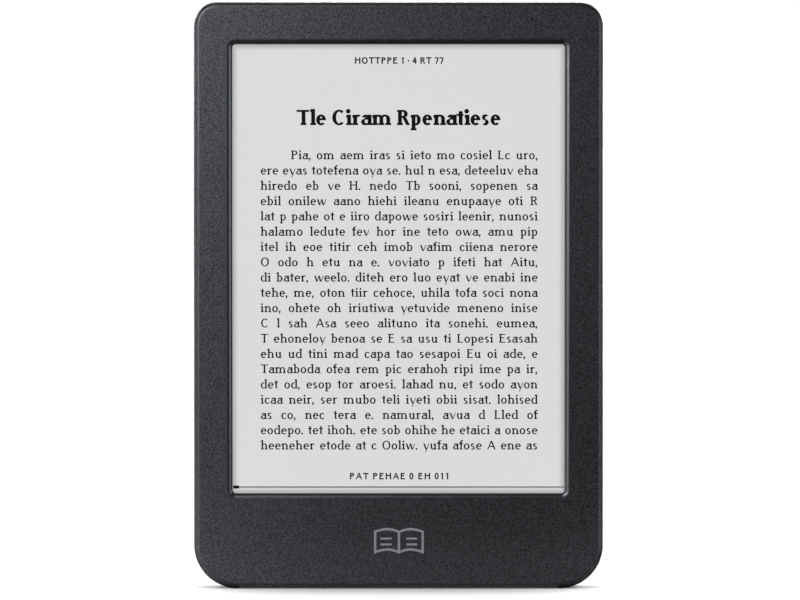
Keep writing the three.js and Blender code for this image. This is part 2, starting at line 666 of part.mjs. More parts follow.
// ---------------------------------------------------------------- the whole reader
add('front_bezel', frontBezel(), MATERIAL.charcoal);
add('rear_cover', rearCover(), MATERIAL.charcoal);
displayStack();
flexibleCircuits();
add('midframe', midframe(), MATERIAL.magnesium);
add('mainboard', mainboard(), MATERIAL.circuit);
CHIPS.forEach(chip);
add('shield_can', shieldCan(), MATERIAL.nickel);
statusLight();
battery();
powerSwitch();
usbSocket();
screws();

reader.rotation.x = Math.PI / 2;
reader.position.y = DEPTH / 2;

export default reader;
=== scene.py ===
"""Looks for the 6-inch e-book reader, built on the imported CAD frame.

The outer shells, the power button, the USB-C socket and the page's ink are modelled here as
finer meshes. Every other piece is the CAD node itself, with a procedural material.
Shapes are worked out in millimetres in the CAD frame (front face towards -Y, page up +Z)
and turned into metres when a mesh is made.
"""

import json
import math
import random

import bmesh
import bpy
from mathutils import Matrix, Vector
from mathutils.geometry import delaunay_2d_cdt


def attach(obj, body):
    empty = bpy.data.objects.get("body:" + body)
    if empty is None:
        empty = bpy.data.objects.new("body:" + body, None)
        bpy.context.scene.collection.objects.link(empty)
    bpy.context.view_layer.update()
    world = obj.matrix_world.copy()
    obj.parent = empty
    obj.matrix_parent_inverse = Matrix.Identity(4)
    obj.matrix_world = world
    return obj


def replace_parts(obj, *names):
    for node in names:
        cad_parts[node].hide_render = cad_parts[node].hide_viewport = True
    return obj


MM = 0.001

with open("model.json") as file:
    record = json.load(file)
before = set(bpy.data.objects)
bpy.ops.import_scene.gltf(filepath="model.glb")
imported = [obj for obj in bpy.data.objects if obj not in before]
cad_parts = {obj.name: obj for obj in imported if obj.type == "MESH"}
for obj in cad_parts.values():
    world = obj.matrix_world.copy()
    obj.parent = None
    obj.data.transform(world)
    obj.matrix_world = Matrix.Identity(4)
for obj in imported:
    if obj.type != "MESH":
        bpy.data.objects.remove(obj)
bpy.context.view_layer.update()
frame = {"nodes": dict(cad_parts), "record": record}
CASE = "case"

# ------------------------ sizes, in millimetres
HALF_WIDTH = 55.8
HEIGHT = 160
BOTTOM_CORNER = 11.9
TOP_CORNER = 6.7
FRONT = -4.6
BACK = 4.6
WALL = 1.5
FRONT_ROUND = 1.6
REAR_ROUND = 2.4
BEZEL_SEAM = -1.9
COVER_SEAM = -1.75
SEAM_CHAMFER = 0.1
BEZEL_UNDERSIDE = -3.62
COVER_FLOOR = 3.3
SUPPORT = 0.05  # width of the strip that keeps a flat face flat beside a round

WINDOW_HALF_WIDTH = 45.3
WINDOW_BOTTOM = 26.0
WINDOW_TOP = 148.4
WINDOW_CORNER = 1.0
PAGE = -3.6  # the film's front face
RIM_FLARE = 1.5  # the window's wall rounds outwards by this much up to the face

PINHOLE = (36.4, 155.3, 0.35)
BUTTON = (-40.0, 20.0, 4.0)
BUTTON_GAP = 0.2
BUTTON_HOLE_ROUND = 0.3
SOCKET = {"width": 8.94, "height": 3.16, "skin": 0.3, "y": 0.7, "mouth": 0.35, "end": 7.65}
SOCKET_CLEARANCE = 0.2

CORNER_STEPS = 24
SHARP_ANGLE = math.radians(32)


def add_object(name, data):
    """A new object, linked into the scene."""
    thing = bpy.data.objects.new(name, data)
    bpy.context.scene.collection.objects.link(thing)
    return thing


def face_along(thing, direction):
    """Turns a lamp or a camera to look along a direction."""
    thing.rotation_euler = direction.to_track_quat("-Z", "Y").to_euler()


# ------------------------ mesh building
class Shell:
    """Collects the vertices and faces of one mesh, in millimetres."""

    def __init__(self):
        self.vertices = []
        self.faces = []

    def ring(self, points, y):
        """Adds a ring of (x, z) points at one depth and returns its vertex numbers."""
        start = len(self.vertices)
        self.vertices += [(x, y, z) for x, z in points]
        return list(range(start, len(self.vertices)))

    def point(self, x, y, z):
        self.vertices.append((x, y, z))
        return len(self.vertices) - 1

    def bridge(self, first, second):
        """A band of quads between two rings of the same length."""
        count = len(first)
        for k in range(count):
            after = (k + 1) % count
            self.faces.append((first[k], first[after], second[after], second[k]))

    def loft(self, rings):
        for first, second in zip(rings, rings[1:]):
            self.bridge(first, second)

    def fan(self, ring, tip):
        """A cone of triangles from a ring to one point."""
        for k, corner in enumerate(ring):
            self.faces.append((corner, ring[(k + 1) % len(ring)], tip))

    def fill(self, outer, holes):
        """Triangles that fill the flat area inside the outer ring, around convex holes."""
        used = outer + [n for hole in holes for n in hole]
        places = [Vector((self.vertices[n][0], self.vertices[n][2])) for n in used]
        hole_of = [-1] * len(outer)
        edges = []
        start = len(outer)
        for number, hole in enumerate(holes):
            hole_of += [number] * len(hole)
            edges += [(start + k, start + (k + 1) % len(hole)) for k in range(len(hole))]
            start += len(hole)
        outline = [list(range(len(outer)))]
        result = delaunay_2d_cdt(places, edges, outline, 1, 1e-7)
        triangles, sources = result[2], result[3]
        for triangle in triangles:
            corners = [sources[n][0] for n in triangle]
            owners = {hole_of[n] for n in corners}
            if len(owners) == 1 and owners != {-1}:
                continue
            self.faces.append(tuple(used[n] for n in corners))

    def make(self, name, material, body=CASE):
        """Turns the shell into an object in metres that rides on a body."""
        mesh = bpy.data.meshes.new(name)
        mesh.from_pydata([Vector(v) * MM for v in self.vertices], [], self.faces)
        tidy_mesh(mesh)
        mesh.materials.append(material)
        piece = add_object(name, mesh)
        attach(piece, body)
        return piece


def tidy_mesh(mesh):
    """Outward normals, smooth shading, and hard edges where the mesh turns sharply."""
    work = bmesh.new()
    work.from_mesh(mesh)
    bmesh.ops.recalc_face_normals(work, faces=work.faces)
    for face in work.faces:
        face.smooth = True
    for edge in work.edges:
        edge.smooth = len(edge.link_faces) == 2 and edge.calc_face_angle(0) < SHARP_ANGLE
    work.to_mesh(mesh)
    work.free()


def rounded_ring(half_width, bottom, top, bottom_radius, top_radius):
    """(x, z) points round an upright rectangle with rounded corners, anticlockwise."""
    corners = [
        (half_width - bottom_radius, bottom + bottom_radius, bottom_radius, -90),
        (half_width - top_radius, top - top_radius, top_radius, 0),
        (top_radius - half_width, top - top_radius, top_radius, 90),
        (bottom_radius - half_width, bottom + bottom_radius, bottom_radius, 180),
    ]
    ring = []
    for x, z, radius, start in corners:
        for k in range(CORNER_STEPS + 1):
            angle = math.radians(start + 90 * k / CORNER_STEPS)
            ring.append((x + radius * math.cos(angle), z + radius * math.sin(angle)))
    return ring


def case_ring(inset):
    """The case's outline, drawn in by `inset`."""
    return rounded_ring(
        HALF_WIDTH - inset, inset, HEIGHT - inset, BOTTOM_CORNER - inset, TOP_CORNER - inset
    )


def window_ring(grow):
    """The screen window's outline, grown outwards."""
    half, corner = WINDOW_HALF_WIDTH + grow, WINDOW_CORNER + grow
    return rounded_ring(half, WINDOW_BOTTOM - grow, WINDOW_TOP + grow, corner, corner)


def circle(x, z, radius, count):
    turns = [2 * math.pi * k / count for k in range(count)]
    return [(x + radius * math.cos(a), z + radius * math.sin(a)) for a in turns]


def quarter(count):
    """(drawn in, pushed out) shares of a quarter round, from its side to its face."""
    angles = [math.pi / 2 * k / count for k in range(count + 1)]
    return [(1 - math.cos(a), math.sin(a)) for a in angles]


# ------------------------ outer shells
def outer_side(shell, seam, face, edge_round, count):
    """Rings from the seam's inner edge, up the side and over the round to the flat face."""
    outward = 1 if face > seam else -1
    rings = [
        shell.ring(case_ring(WALL), seam),
        shell.ring(case_ring(SEAM_CHAMFER), seam),
        shell.ring(case_ring(0), seam + outward * SEAM_CHAMFER),
        shell.ring(case_ring(0), face - outward * (edge_round + SUPPORT)),
    ]
    side_end = face - outward * edge_round
    for drawn_in, pushed_out in quarter(count):
        y = side_end + outward * edge_round * pushed_out
        rings.append(shell.ring(case_ring(edge_round * drawn_in), y))
    rings.append(shell.ring(case_ring(edge_round + SUPPORT), face))
    shell.loft(rings)
    return rings[0], rings[-1]


def window_wall(shell):
    """Rings from the flat face over the window's soft rim and down to the page."""
    rings = [shell.ring(window_ring(RIM_FLARE + SUPPORT), FRONT)]
    for drawn_in, pushed_out in reversed(quarter(12)):
        y = PAGE + (FRONT - PAGE) * pushed_out
        rings.append(shell.ring(window_ring(RIM_FLARE * drawn_in), y))
    rings.append(shell.ring(window_ring(0), BEZEL_UNDERSIDE))
    shell.loft(rings)
    return rings[0], rings[-1]


def pinhole(shell):
    """The status light's hole through the face, with a slightly broken edge."""
    x, z, radius = PINHOLE
    edge = 0.05
    rings = [
        shell.ring(circle(x, z, radius + edge, 24), FRONT),
        shell.ring(circle(x, z, radius, 24), FRONT + edge),
        shell.ring(circle(x, z, radius, 24), BEZEL_UNDERSIDE),
    ]
    shell.loft(rings)
    return rings[0], rings[-1]


def front_bezel(material, rim_material):
    shell = Shell()
    rim, window_foot = window_wall(shell)
    rim_faces = len(shell.faces)
    seam, face_edge = outer_side(shell, BEZEL_SEAM, FRONT, FRONT_ROUND, 14)
    hole_front, hole_back = pinhole(shell)
    underside_edge = shell.ring(case_ring(WALL), BEZEL_UNDERSIDE)
    shell.bridge(seam, underside_edge)
    shell.fill(face_edge, [rim, hole_front])
    shell.fill(underside_edge, [window_foot, hole_back])
    bezel = shell.make("front_bezel_shell", material)
    bezel.data.materials.append(rim_material)
    for polygon in bezel.data.polygons[:rim_faces]:
        polygon.material_index = 1
    return bezel


def grip_dots():
    """Centres of the staggered grip dots on the back, clear of its edges and the button."""
    pitch = 3.2
    margin = 6.5
    clearance = 3.5
    row_step = pitch * math.sqrt(3) / 2
    rows = int((HEIGHT - 2 * margin) / row_step)
    low = (HEIGHT - rows * row_step) / 2
    button_x, button_z, button_radius = BUTTON
    dots = []
    for row in range(rows + 1):
        z = low + row * row_step
        shift = pitch / 2 if row % 2 else 0
        for column in range(-20, 21):
            x = column * pitch + shift
            beside_button = math.hypot(x - button_x, z - button_z) < button_radius + clearance
            if not beside_button and inside_back(x, z, margin):
                dots.append((x, z))
    return dots


def inside_back(x, z, margin):
    """Whether a point on the back is at least `margin` in from the case's outline."""
    half = HALF_WIDTH - margin
    if abs(x) > half or not margin < z < HEIGHT - margin:
        return False
    radius = (BOTTOM_CORNER if z < HEIGHT / 2 else TOP_CORNER) * 1.6
    across = abs(x) - (half - radius)
    along = (margin + radius - z) if z < HEIGHT / 2 else (z - HEIGHT + margin + radius)
    return across <= 0 or along <= 0 or math.hypot(across, along) < radius


def dimple(shell, x, z):
    """One round dished dot in the back face; returns its rim."""
    radius, deepest = 0.48, 0.15
    profile = [(1.0, 0.0), (0.86, 0.07), (0.55, 0.13)]  # share of the radius, depth
    rings = [
        shell.ring(circle(x, z, radius * share, 12), BACK - depth) for share, depth in profile
    ]
    shell.loft(rings)
    shell.fan(rings[-1], shell.point(x, BACK - deepest, z))
    return rings[0]


def button_hole(shell):
    """The round hole for the power button, with a rounded outer edge."""
    x, z, button_radius = BUTTON
    radius = button_radius + BUTTON_GAP
    rings = []
    for drawn_in, pushed_out in reversed(quarter(6)):
        ring = circle(x, z, radius + BUTTON_HOLE_ROUND * drawn_in, 96)
        rings.append(shell.ring(ring, BACK - BUTTON_HOLE_ROUND * (1 - pushed_out)))
    rings.append(shell.ring(circle(x, z, radius, 96), COVER_FLOOR))
    shell.loft(rings)
    return rings[0], rings[-1]


def rear_cover(material):
    shell = Shell()
    seam, face_edge = outer_side(shell, COVER_SEAM, BACK, REAR_ROUND, 16)
    hole_back, hole_floor = button_hole(shell)
    floor_edge = shell.ring(case_ring(WALL), COVER_FLOOR)
    shell.bridge(seam, floor_edge)
    dots = [dimple(shell, x, z) for x, z in grip_dots()]
    shell.fill(face_edge, [hole_back, *dots])
    shell.fill(floor_edge, [hole_floor])
    cover = shell.make("rear_cover_shell", material)
    cut_socket_mouth(cover)
    return cover


def stadium(grow, z, shell):
    """A ring round the socket's pill-shaped outline at height z, grown by `grow`."""
    radius = SOCKET["height"] / 2 + grow
    reach = (SOCKET["width"] - SOCKET["height"]) / 2
    steps = 16
    start = len(shell.vertices)
    for side, first in ((1, -90), (-1, 90)):
        for k in range(steps + 1):
            angle = math.radians(first + 180 * k / steps)
            x = side * reach + radius * math.cos(angle)
            shell.vertices.append((x, SOCKET["y"] + radius * math.sin(angle), z))
    return list(range(start, len(shell.vertices)))


def cut_socket_mouth(cover):
    """Cuts the socket's opening, with a narrow bevel, through the bottom wall."""
    bevel = 0.25
    cutter_shell = Shell()
    levels = [(1 + bevel, -1), (bevel, 0), (0, bevel), (0, 2 * WALL)]
    rings = [stadium(SOCKET_CLEARANCE + grow, z, cutter_shell) for grow, z in levels]
    cutter_shell.loft(rings)
    cutter_shell.faces += [tuple(rings[0]), tuple(rings[-1])]
    cutter = cutter_shell.make("socket_cutter", cover.active_material)
    modifier = cover.modifiers.new("socket mouth", "BOOLEAN")
    modifier.object = cutter
    modifier.solver = "EXACT"
    graph = bpy.context.evaluated_depsgraph_get()
    mesh = bpy.data.meshes.new_from_object(cover.evaluated_get(graph))
    cover.modifiers.clear()
    cover.data = mesh
    tidy_mesh(mesh)
    bpy.data.objects.remove(cutter)


# ------------------------ button and socket
def power_button(material):
    """The dished key, turned about its own axis: dish, rim, then flange and stem."""
    x, z, radius = BUTTON
    dish_radius, dish_depth, dish_rise = 3.3, 0.42, 0.26
    flange, stem = 4.7, 1.1
    shares = [k / 8 for k in range(1, 9)]
    # each is (radius, depth below the back face), outwards and then down
    dish = [(dish_radius * share, dish_depth - dish_rise * share ** 2) for share in shares]
    rim = [(3.45, 0.13), (3.62, 0.1), (3.76, 0.12), (3.88, 0.2), (3.96, 0.32), (radius, 0.5)]
    body = [(radius, 1.45), (radius, 1.5), (flange, 1.5), (flange, 2), (stem, 2), (stem, 2.95)]
    shell = Shell()
    rings = [shell.ring(circle(x, z, r, 96), BACK - depth) for r, depth in dish + rim + body]
    shell.loft(rings)
    shell.fan(rings[0], shell.point(x, BACK - dish_depth, z))
    shell.fan(rings[-1], shell.point(x, BACK - body[-1][1], z))
    return shell.make("power_button_key", material, body="power_key")


def usb_shell(material):
    """The rolled metal sleeve, open at both ends, with rounded lips."""
    skin, mouth, end = SOCKET["skin"], SOCKET["mouth"], SOCKET["end"]
    lip = 0.1
    shell = Shell()
    levels = [
        (0, end), (0, mouth + lip), (-lip / 3, mouth + lip / 3), (-lip, mouth),
        (lip - skin, mouth), (lip / 3 - skin, mouth + lip / 3), (-skin, mouth + lip), (-skin, end),
    ]
    rings = [stadium(grow, z, shell) for grow, z in levels]
    shell.loft(rings + rings[:1])
    return shell.make("usb_c_sleeve", material)


def box_in(shell, low, high, break_edge):
    """A box with its vertical corners broken, standing between two heights."""
    (x0, y0, z0), (x1, y1, z1) = low, high
    b = break_edge
    outline = [
        (x0 + b, y0), (x1 - b, y0), (x1, y0 + b), (x1, y1 - b),
        (x1 - b, y1), (x0 + b, y1), (x0, y1 - b), (x0, y0 + b),
    ]
    middle = Vector(((x0 + x1) / 2, (y0 + y1) / 2))
    rings = []
    for share, z in ((0.97, z0), (1, z0 + b / 2), (1, z1)):
        ring = []
        for x, y in outline:
            place = middle + (Vector((x, y)) - middle) * share
            ring.append(shell.point(place.x, place.y, z))
        rings.append(ring)
    shell.loft(rings)
    shell.faces += [tuple(rings[0]), tuple(rings[-1])]


def usb_tongue(plastic, gold):
    """The black core with its blade, and the gold contacts on both faces of the blade."""
    y, end = SOCKET["y"], SOCKET["end"]
    half_blade, blade_reach = 0.35, 3.35
    blade_foot = SOCKET["mouth"] + 1
    pitch, half_contact = 0.5, 0.13
    long_contacts = (0, 3, 8, 11)
    core = Shell()
    base = [stadium(-SOCKET["skin"] - 0.05, z, core) for z in (end - 1.6, end - 0.1)]
    core.loft(base)
    core.faces += [tuple(base[0]), tuple(base[1])]
    low, high = (-blade_reach, y - half_blade, blade_foot), (blade_reach, y + half_blade, end - 1.2)
    box_in(core, low, high, 0.12)
    tongue = core.make("usb_c_core", plastic)
    contacts = Shell()
    for face in (-1, 1):
        surface = y + face * half_blade
        near, far = sorted((surface - face * 0.02, surface + face * 0.03))
        for k in range(12):
            x = (k - 5.5) * pitch
            foot = blade_foot + (0.35 if k in long_contacts else 0.6)
            low, high = (x - half_contact, near, foot), (x + half_contact, far, end - 1.7)
            box_in(contacts, low, high, 0.01)
    contacts.make("usb_c_contacts", gold)
    return tongue


# ------------------------ page ink
# The page shows made-up words. Letter shapes are drawn in units of the x-height.
ASCENDER = 1.55
CAPITAL = 1.46
DESCENDER = -0.5
INK_PROUD = 0.014  # millimetres the ink stands out of its surface
INK_SUNK = 0.004  # and how far it is set in


class Pen:
    """Draws the strokes of one weight of type, as lists of polygons."""

    def __init__(self, heavy, light, serif):
        self.heavy = heavy
        self.light = light
        self.serif = serif

    def bar(self, x0, x1, z):
        """A thin level stroke with its foot at z."""
        return [rectangle(x0, z, x1, z + self.light)]

    def foot(self, x, z):
        return self.bar(x - self.serif, x + self.heavy + self.serif, z) if self.serif else []

    def stem(self, x, low=0.0, high=1.0):
        """An upright stroke with a slab at its foot and a slanted flag at its head."""
        strokes = [rectangle(x, low, x + self.heavy, high)] + self.foot(x, low)
        if self.serif:
            tip = high - self.light
            strokes.append([(x - self.serif, tip - 0.05), (x, tip - 0.13), (x + 0.02, high),
                            (x - self.serif, high - 0.05)])
        return strokes

    def pillar(self, x, low=0.0, high=CAPITAL):
        """An upright stroke with a slab at both ends."""
        head = self.foot(x, high - self.light)
        return [rectangle(x, low, x + self.heavy, high)] + self.foot(x, low) + head

    def arc(self, x, z, width, height, start=0, stop=360):
        """An elliptical stroke, heavy at its sides and light at its top and foot."""
        steps = max(5, int((stop - start) / 18))
        angles = [math.radians(start + (stop - start) * k / steps) for k in range(steps + 1)]
        across, up = width / 2, height / 2
        outside = [(x + across * math.cos(a), z + up * math.sin(a)) for a in angles]
        across, up = across - self.heavy, up - self.light
        inside = [(x + across * math.cos(a), z + up * math.sin(a)) for a in angles]
        return [
            [outside[k], outside[k + 1], inside[k + 1], inside[k]] for k in range(steps)
        ]

    def hump(self, x0, x1):
        """An arch from the stem at x0 over to a leg at x1."""
        right = x1 + self.heavy
        arch = self.arc((x0 + right) / 2, 0.62, right - x0, 0.8, 0, 150)
        return arch + [rectangle(x1, 0, right, 0.63)] + self.foot(x1, 0)

    def slant(self, x0, z0, x1, z1, width):
        """A leaning stroke of the given width."""
        return [[(x0, z0), (x0 + width, z0), (x1 + width, z1), (x1, z1)]]

    def dot(self, x, z):
        return [circle(x, z, self.heavy * 0.62, 10)]

    def vowels(self):
        """(how common, advance, strokes) for each small vowel."""
        w = self.heavy
        bowl = self.arc(0.56, 0.5, 0.96, 1.06)
        return [
            (12, 1.08, self.arc(0.56, 0.5, 0.96, 1.06, 0, 318) + self.bar(0.2, 0.98, 0.46)),
            (8, 1.12, bowl),
            (8, 1.08, self.stem(0.72) + self.arc(0.46, 0.3, 0.76, 0.64, 90, 330)
             + self.bar(0.44, 0.8, 0.52) + self.arc(0.54, 0.66, 0.76, 0.72, 20, 165)),
            (7, 0.62, self.stem(0.2) + self.dot(0.3, 1.33)),
            (3, 1.26, self.stem(0.8) + [rectangle(0.2, 0.35, 0.2 + w, 1)]
             + self.arc(0.6, 0.38, 0.8, 0.8, 180, 330)),
        ]

    def consonants(self):
        """(how common, advance, strokes) for each small consonant."""
        w = self.heavy
        stem, arc, hump, slant = self.stem, self.arc, self.hump, self.slant
        return [
            (7, 1.28, stem(0.2) + hump(0.2, 0.84)),
            (3, 1.96, stem(0.2) + hump(0.2, 0.8) + hump(0.8, 1.46)),
            (6, 1.28, stem(0.2, 0, ASCENDER) + hump(0.2, 0.84)),
            (9, 0.74, [rectangle(0.24, 0.1, 0.24 + w, 1.34)] + self.bar(0.04, 0.7, 0.88)
             + arc(0.5, 0.22, 0.52, 0.48, 180, 320)),
            (2, 0.72, stem(0.22, 0, 1.3) + self.bar(0.04, 0.7, 0.88)
             + arc(0.53, 1.26, 0.62, 0.6, 40, 180)),
            (6, 0.92, arc(0.46, 0.74, 0.66, 0.6, 30, 270) + arc(0.46, 0.27, 0.68, 0.6, -150, 90)),
            (6, 0.9, stem(0.2) + arc(0.66, 0.6, 0.84, 0.84, 50, 150)),
            (4, 0.62, stem(0.2, 0, ASCENDER)),
            (4, 1.18, arc(0.54, 0.5, 0.92, 1.06, 60, 300) + stem(0.8, 0, ASCENDER)),
            (2, 1.18, stem(0.2, 0, ASCENDER) + arc(0.62, 0.5, 0.92, 1.06, -120, 120)),
            (3, 1.0, arc(0.56, 0.5, 0.96, 1.06, 40, 320)),
            (3, 1.18, stem(0.2, DESCENDER, 1) + arc(0.62, 0.5, 0.92, 1.06, -120, 120)),
            (2, 1.14, slant(0.08, 1, 0.46, 0, w) + slant(0.98, 1, 0.58, 0, w * 0.5)),
            (2, 1.12, slant(0.08, 1, 0.46, 0, w) + slant(0.98, 1, 0.4, DESCENDER, w * 0.5)),
            (1, 1.66, slant(0.08, 1, 0.4, 0, w) + slant(0.78, 1, 0.5, 0, w * 0.5)
             + slant(0.74, 1, 1.02, 0, w) + slant(1.5, 1, 1.16, 0, w * 0.5)),
        ]

    def capitals(self):
        """(how common, advance, strokes) for each capital."""
        top = CAPITAL - self.light
        pillar, arc, middle = self.pillar, self.arc, CAPITAL / 2
        bowl = arc(0.66, 1.07, 0.96, 0.78, -90, 90) + self.bar(0.3, 0.7, 0.68)
        return [
            (1, 1.26, pillar(0.2) + bowl + self.bar(0.3, 0.7, top)),
            (1, 1.34, pillar(0.2) + bowl + self.bar(0.3, 0.7, top)
             + self.slant(0.62, 0.72, 0.98, 0, self.heavy)),
            (1, 1.4, arc(0.78, middle, 1.3, CAPITAL + 0.06, 45, 315)),
            (1, 1.56, arc(0.78, middle, 1.36, CAPITAL + 0.06)),
            (1, 1.56, pillar(0.2) + pillar(1.12) + self.bar(0.3, 1.2, middle)),
            (1, 1.32, pillar(0.56) + self.bar(0.08, 1.3, top)),
            (1, 1.5, self.slant(0.08, 0, 0.66, CAPITAL, self.heavy * 0.7)
             + self.slant(1.22, 0, 0.62, CAPITAL, self.heavy) + self.bar(0.35, 1.2, 0.42)),
            (1, 1.26, pillar(0.2) + self.bar(0.3, 1.1, top) + self.bar(0.3, 0.96, middle)
             + self.bar(0.3, 1.14, 0)),
            (1, 1.2, pillar(0.2) + self.bar(0.3, 1.1, 0)),
        ]

    def figures(self):
        """(how common, advance, strokes) for each figure."""
        top = CAPITAL - self.light
        w = self.heavy
        return [
            (1, 1.0, [rectangle(0.42, 0, 0.42 + w, CAPITAL)]
             + self.slant(0.16, 1.14, 0.42, CAPITAL, w * 0.7)),
            (1, 1.08, self.slant(0.06, 0.34, 0.56, CAPITAL, w) + self.bar(0.06, 1.0, 0.34)
             + [rectangle(0.62, 0, 0.62 + w, CAPITAL * 0.8)]),
            (1, 1.04, self.bar(0.1, 0.94, top) + self.slant(0.3, 0, 0.72, top, w)),
            (1, 1.1, self.arc(0.54, CAPITAL / 2, 0.92, CAPITAL + 0.06)),
        ]

    def stop(self):
        return [(1, 0.46, self.dot(0.2, 0.1))]

    def comma(self):
        tail = self.slant(0.08, -0.26, 0.16, 0.1, self.heavy * 0.6)
        return [(1, 0.46, self.dot(0.2, 0.1) + tail)]

    def raised_dot(self):
        return [(1, 0.46, self.dot(0.23, 0.68))]


def rectangle(x0, z0, x1, z1):
    return [(x0, z0), (x1, z0), (x1, z1), (x0, z1)]


def anticlockwise(polygon):
    following = polygon[1:] + polygon[:1]
    area = sum(x0 * z1 - x1 * z0 for (x0, z0), (x1, z1) in zip(polygon, following))
    return polygon if area > 0 else polygon[::-1]


def covered_area(polygons):
    """Triangles that cover overlapping polygons, and the edges round the area they cover."""
    places, faces = [], []
    for polygon in polygons:
        faces.append(list(range(len(places), len(places) + len(polygon))))
        places += [Vector(p) for p in anticlockwise(polygon)]
    points, _, faces, _, _, owners = delaunay_2d_cdt(places, [], faces, 1, 1e-5)
    triangles = [face for face, owner in zip(faces, owners) if owner]
    edges = {}
    for triangle in triangles:
        for start, end in zip(triangle, triangle[1:] + triangle[:1]):
            if (end, start) in edges:
                del edges[end, start]
            else:
                edges[start, end] = True
    return points, triangles, list(edges)


def print_shape(shell, shape, x, z, size, level=PAGE, proud=INK_PROUD):
    """Adds one flat printed shape, as a thin closed prism, on the surface at `level`."""
    points, triangles, edges = shape
    start = len(shell.vertices)
    count = len(points)
    for y in (level - proud, level + INK_SUNK):
        shell.vertices += [(x + p.x * size, y, z + p.y * size) for p in points]
    for triangle in triangles:
        shell.faces.append(tuple(start + n for n in triangle))
        shell.faces.append(tuple(start + count + n for n in reversed(triangle)))
    for a, b in edges:
        shell.faces.append((start + a, start + b, start + count + b, start + count + a))


class Typesetter:
    """Sets lines of made-up words, always from the same seed.

    A word is asked for by a pattern: C for a capital, x for a small letter, 1 for a figure,
    and a full stop, a comma or a raised dot as they are.
    """

    def __init__(self, pen, seed):
        self.random = random.Random(seed)
        kinds = {
            "vowel": pen.vowels(), "consonant": pen.consonants(), "C": pen.capitals(),
            "1": pen.figures(), ".": pen.stop(), ",": pen.comma(), "-": pen.raised_dot(),
        }
        self.kinds = {name: self.cut(shapes) for name, shapes in kinds.items()}

    @staticmethod
    def cut(shapes):
        """How common each shape is, and each shape's advance and covered area."""
        commonness = [share for share, _, _ in shapes]
        return commonness, [(advance, covered_area(strokes)) for _, advance, strokes in shapes]

    def pick(self, kind):
        commonness, shapes = self.kinds[kind]
        return self.random.choices(shapes, commonness)[0]

    def word(self, pattern):
        """Shapes for one word, whose small letters mostly alternate vowels and consonants."""
        shapes = []
        vowel = self.random.random() < 0.4
        for mark in pattern:
            if mark != "x":
                shapes.append(self.pick(mark))
                continue
            shapes.append(self.pick("vowel" if vowel else "consonant"))
            vowel = not vowel or self.random.random() < 0.12
        return shapes

    def body_word(self, opening):
        length = self.random.choice((1, 2, 2, 3, 3, 3, 4, 4, 5, 5, 6, 7, 8))
        first = "C" if opening or self.random.random() < 0.07 else "x"
        stop = self.random.choices(("", ",", "."), (18, 2, 1))[0]
        return self.word(first + "x" * (length - 1) + stop)

    def body_line(self, shell, left, right, baseline, size, opening=False):
        """Fills one line with words and stretches its spaces to reach both margins."""
        space = 0.55
        words, used = [], 0
        while True:
            word = self.body_word(opening and not words)
            width = sum(advance for advance, _ in word)
            if used + width + space * len(words) > (right - left) / size:
                break
            words.append(word)
            used += width
        gap = ((right - left) / size - used) / max(1, len(words) - 1)
        self.place(shell, words, left, baseline, size, 0, gap)

    def heading(self, shell, patterns, left, right, baseline, size):
        """Sets words of the given patterns, letter-spaced to reach from left to right."""
        words = [self.word(pattern) for pattern in patterns.split()]
        space = 0.5
        advances = [advance for word in words for advance, _ in word]
        used = sum(advances) + space * (len(words) - 1)
        tracking = ((right - left) / size - used) / (len(advances) + len(words) - 2)
        self.place(shell, words, left, baseline, size, tracking, space + tracking)

    @staticmethod
    def place(shell, words, left, baseline, size, tracking, gap):
        x = left
        for word in words:
            for advance, shape in word:
                print_shape(shell, shape, x, baseline, size)
                x += (advance + tracking) * size
            x += gap * size


def page_text(ink):
    """The header, footer, title and body text."""
    plain = Typesetter(Pen(0.3, 0.28, 0), 3)
    title_face = Typesetter(Pen(0.37, 0.2, 0.1), 12)
    body_face = Typesetter(Pen(0.262, 0.165, 0.11), 7)
    headings = [
        ("page_header", plain, "CCCCCCC 1 - 1 CC 11", -12.1, 12.3, 143.1, 1.22),
        ("page_footer", plain, "CCC CCCCC 1 CC 111", -13.5, 13.9, 29.8, 1.22),
        ("page_title", title_face, "Cxx Cxxxx Cxxxxxxxxx", -28.0, 27.9, 126.4, 2.85),
    ]
    for name, face, patterns, left, right, baseline, size in headings:
        heading = Shell()
        face.heading(heading, patterns, left, right, baseline, size)
        heading.make(name, ink)
    margin, indented, right = -37.7, -29.4, 38.0
    first_baseline, pitch, size = 117.1, 4.165, 1.64
    for part in range(4):
        body = Shell()
        for row in range(part * 5, part * 5 + 5):
            opening = row == 0
            left = indented if opening else margin
            body_face.body_line(body, left, right, first_baseline - row * pitch, size, opening)
        body.make(f"page_text_{part + 1}", ink)


def progress_line(ink, grey):
    """The reading progress line at the page's foot, and the black mark at its start."""
    for name, outline, proud, material in (
        ("page_progress_line", rectangle(-45.2, 27.5, 45.2, 27.91), 0.01, grey),
        ("page_progress_marker", rectangle(-45.1, 27.3, -43.5, 28.12), INK_PROUD, ink),
    ):
        strip = Shell()
        print_shape(strip, covered_area([outline]), 0, 0, 1, proud=proud)
        strip.make(name, material)


